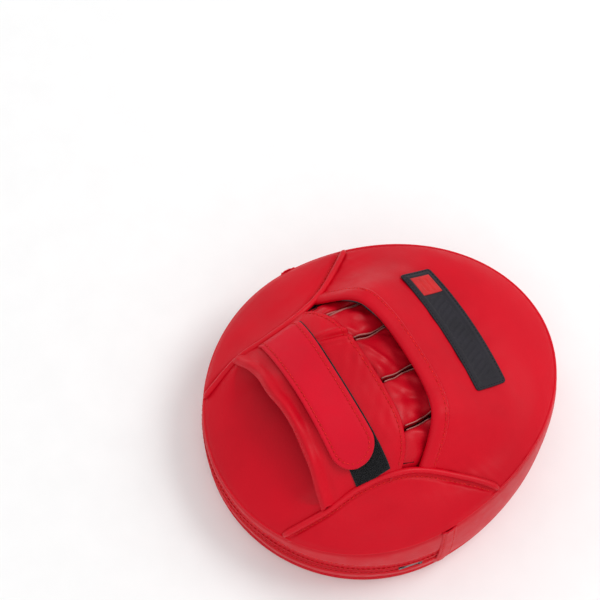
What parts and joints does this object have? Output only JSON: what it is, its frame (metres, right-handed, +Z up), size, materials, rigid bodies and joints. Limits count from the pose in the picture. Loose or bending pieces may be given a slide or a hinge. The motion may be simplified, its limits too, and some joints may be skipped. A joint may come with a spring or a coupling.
{
  "type": "focus mitt",
  "caption": "Padded round punching target worn on the hand, with a finger hood, finger sleeves, a hook-and-loop hand strap and a zip round the heel.",
  "frame": {"origin": "centre of the object's box, on the plane of the striking face that it lies on", "axes": "+Z up from the striking face towards the hand, +Y towards the fingers, +X to the right of a hand seen from its back; the strap is sewn in at -X and closes at +X"},
  "size_m": [0.2106, 0.2386, 0.1069],
  "materials": {
    "red_leather": "matt embossed red synthetic leather",
    "sleeve_leather": "soft thin red synthetic leather, creased",
    "strap_leather": "red synthetic suede with a fine nap",
    "piping_leather": "red synthetic leather over cord",
    "foam": "closed-cell foam sheet",
    "lining": "black knitted lining",
    "loop_tape": "black loop pile",
    "hook_tape": "black woven tape with fine hooks",
    "patch_rubber": "moulded charcoal rubber",
    "emblem_rubber": "moulded red rubber",
    "zip_tape": "red woven zip tape",
    "zip_coil": "dark red nylon coil",
    "zip_metal": "gunmetal plated zinc"
  },
  "bodies": {
    "mitt": {"cuff_lining": "lining", "cuff_panel": "red_leather", "face_welt": "piping_leather", "finger_sleeve_1": "sleeve_leather", "finger_sleeve_2": "sleeve_leather", "finger_sleeve_3": "sleeve_leather", "finger_sleeve_4": "sleeve_leather", "finger_sleeve_5": "sleeve_leather", "foam_lower": "foam", "foam_upper": "foam", "front_gusset": "red_leather", "gusset_binding_left": "red_leather", "gusset_binding_right": "red_leather", "heel_gusset_lower": "red_leather", "heel_gusset_upper": "red_leather", "heel_panel": "red_leather", "hood_hem": "red_leather", "hood_lining": "lining", "hood_padding": "foam", "hood_panel": "red_leather", "hood_patch": "patch_rubber", "impact_foam": "foam", "knuckle_hem": "red_leather", "loop_strap": "loop_tape", "palm_lining": "lining", "palm_pad": "foam", "patch_emblem": "emblem_rubber", "rim_welt": "piping_leather", "side_foam_left": "foam", "side_foam_right": "foam", "side_panel_left": "red_leather", "side_panel_right": "red_leather", "side_piping_left": "piping_leather", "side_piping_right": "piping_leather", "strap_tail": "strap_leather", "striking_face": "red_leather", "wrist_hem": "red_leather", "zip_coil_lower": "zip_coil", "zip_coil_upper": "zip_coil", "zip_placket": "red_leather", "zip_stop_end": "zip_metal", "zip_stop_start": "zip_metal", "zip_tape_lower": "zip_tape", "zip_tape_upper": "zip_tape"},
    "closing_strap": {"strap": "strap_leather", "strap_hook_tape": "hook_tape"},
    "zip_runner": {"zip_slider": "zip_metal"},
    "pull_tab": {"zip_pull": "zip_metal"}
  },
  "joints": [
    {"name": "strap_lift", "type": "hinge", "parent": "mitt", "child": "closing_strap", "pos_m": [-0.0497, -0.0485, 0.09325], "axis": [0, -0.9508, -0.3099], "range_deg": [0, 115]},
    {"name": "zip_slide", "type": "hinge", "parent": "mitt", "child": "zip_runner", "pos_m": [0, -0.015, 0.025], "axis": [0, 0, 1], "range_deg": [-155, 0]},
    {"name": "zip_pull_swing", "type": "hinge", "parent": "zip_runner", "child": "pull_tab", "pos_m": [0.10158, -0.03109, 0.025], "axis": [0, 0, 1], "range_deg": [0, 150]}
  ]
}
